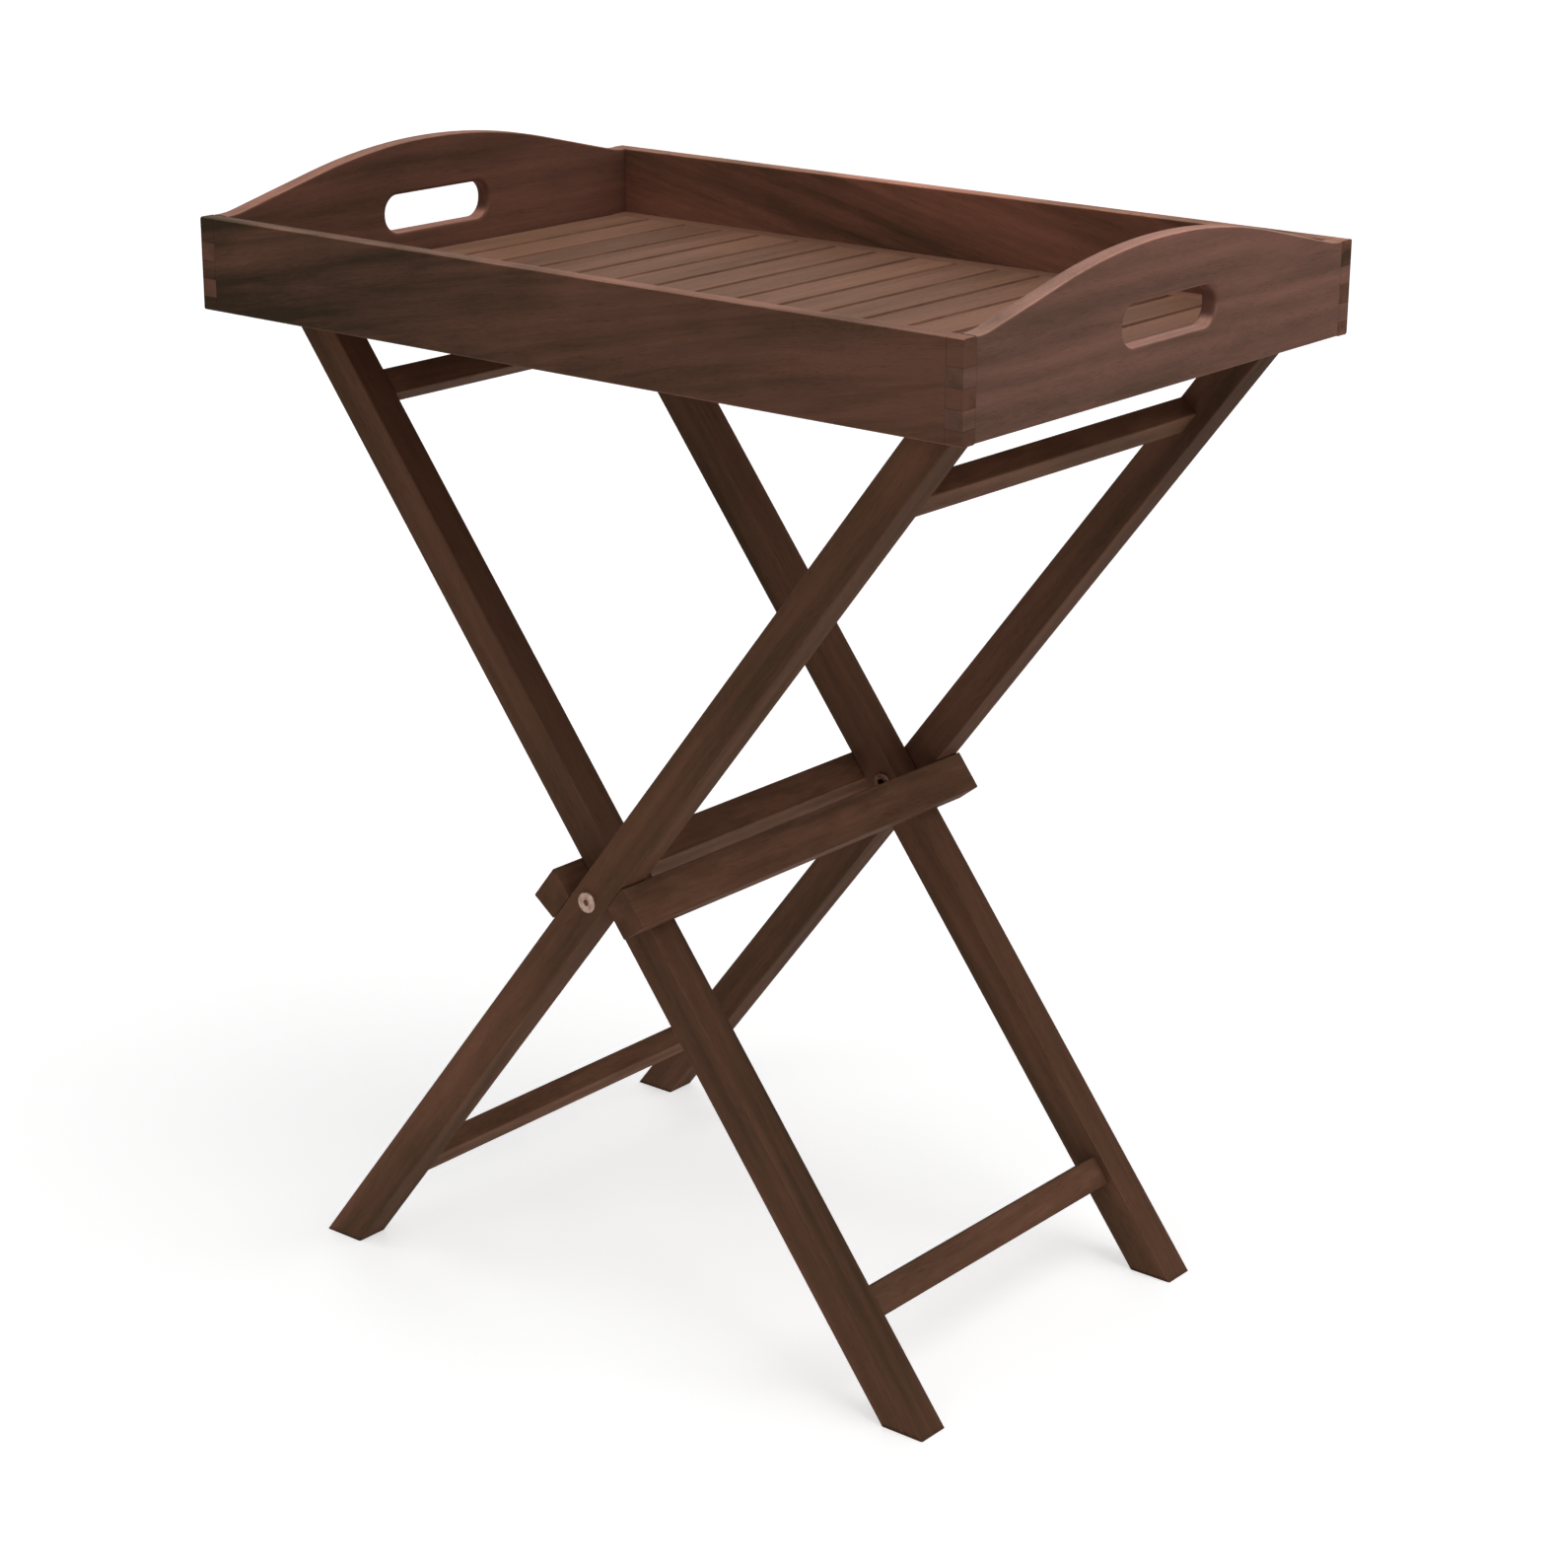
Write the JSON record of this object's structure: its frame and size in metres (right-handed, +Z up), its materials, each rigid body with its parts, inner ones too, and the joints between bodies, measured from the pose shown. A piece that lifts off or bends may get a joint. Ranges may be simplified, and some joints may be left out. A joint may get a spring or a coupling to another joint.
{
  "type": "folding tray table",
  "caption": "Dark wooden tray table: a slatted tray with arched, slotted end boards rests on a crossed-leg folding stand.",
  "frame": {"origin": "on the floor under the middle of the table", "axes": "+X along the tray's long side to the right, -Y the front, +Z up"},
  "size_m": [0.61, 0.4124, 0.7455],
  "materials": {
    "tray_wood": "satin, dark walnut stain",
    "deck_wood": "satin, dark walnut stain",
    "stand_wood": "satin, dark walnut stain",
    "dowel_wood": "raw",
    "pivot_metal": "satin"
  },
  "bodies": {
    "outer_frame": {"outer_leg_front": "stand_wood", "outer_leg_rear": "stand_wood", "outer_top_rail": "stand_wood", "outer_foot_rung": "stand_wood", "outer_stop_rail": "stand_wood", "outer_stop_dowels": "dowel_wood", "pivot_bolts": "pivot_metal", "pivot_nuts": "pivot_metal", "pivot_washers": "pivot_metal"},
    "inner_frame": {"inner_leg_front": "stand_wood", "inner_leg_rear": "stand_wood", "inner_top_rail": "stand_wood", "inner_foot_rung": "stand_wood", "inner_stop_rail": "stand_wood", "inner_stop_dowels": "dowel_wood"},
    "tray": {"tray_front_board": "tray_wood", "tray_rear_board": "tray_wood", "tray_left_board": "tray_wood", "tray_right_board": "tray_wood", "deck_rail_front": "deck_wood", "deck_rail_rear": "deck_wood", "deck_slat_01": "deck_wood", "deck_slat_02": "deck_wood", "deck_slat_03": "deck_wood", "deck_slat_04": "deck_wood", "deck_slat_05": "deck_wood", "deck_slat_06": "deck_wood", "deck_slat_07": "deck_wood", "deck_slat_08": "deck_wood", "deck_slat_09": "deck_wood", "deck_slat_10": "deck_wood", "deck_slat_11": "deck_wood", "deck_slat_12": "deck_wood", "deck_slat_13": "deck_wood", "deck_slat_14": "deck_wood", "deck_slat_15": "deck_wood", "deck_slat_16": "deck_wood", "deck_slat_17": "deck_wood"}
  },
  "joints": [
    {"name": "stand_fold", "type": "hinge", "parent": "outer_frame", "child": "inner_frame", "pos_m": [0, 0, 0.3082], "axis": [0, 1, 0], "range_deg": [0, 70.8]},
    {"name": "tray_lift", "type": "slide", "parent": "outer_frame", "child": "tray", "axis": [0, 0, 1], "range_m": [0, 0.4]}
  ],
  "couplings": [
    {"joint": "tray_lift", "follows": "stand_fold", "m_per_rad": 0.32}
  ]
}
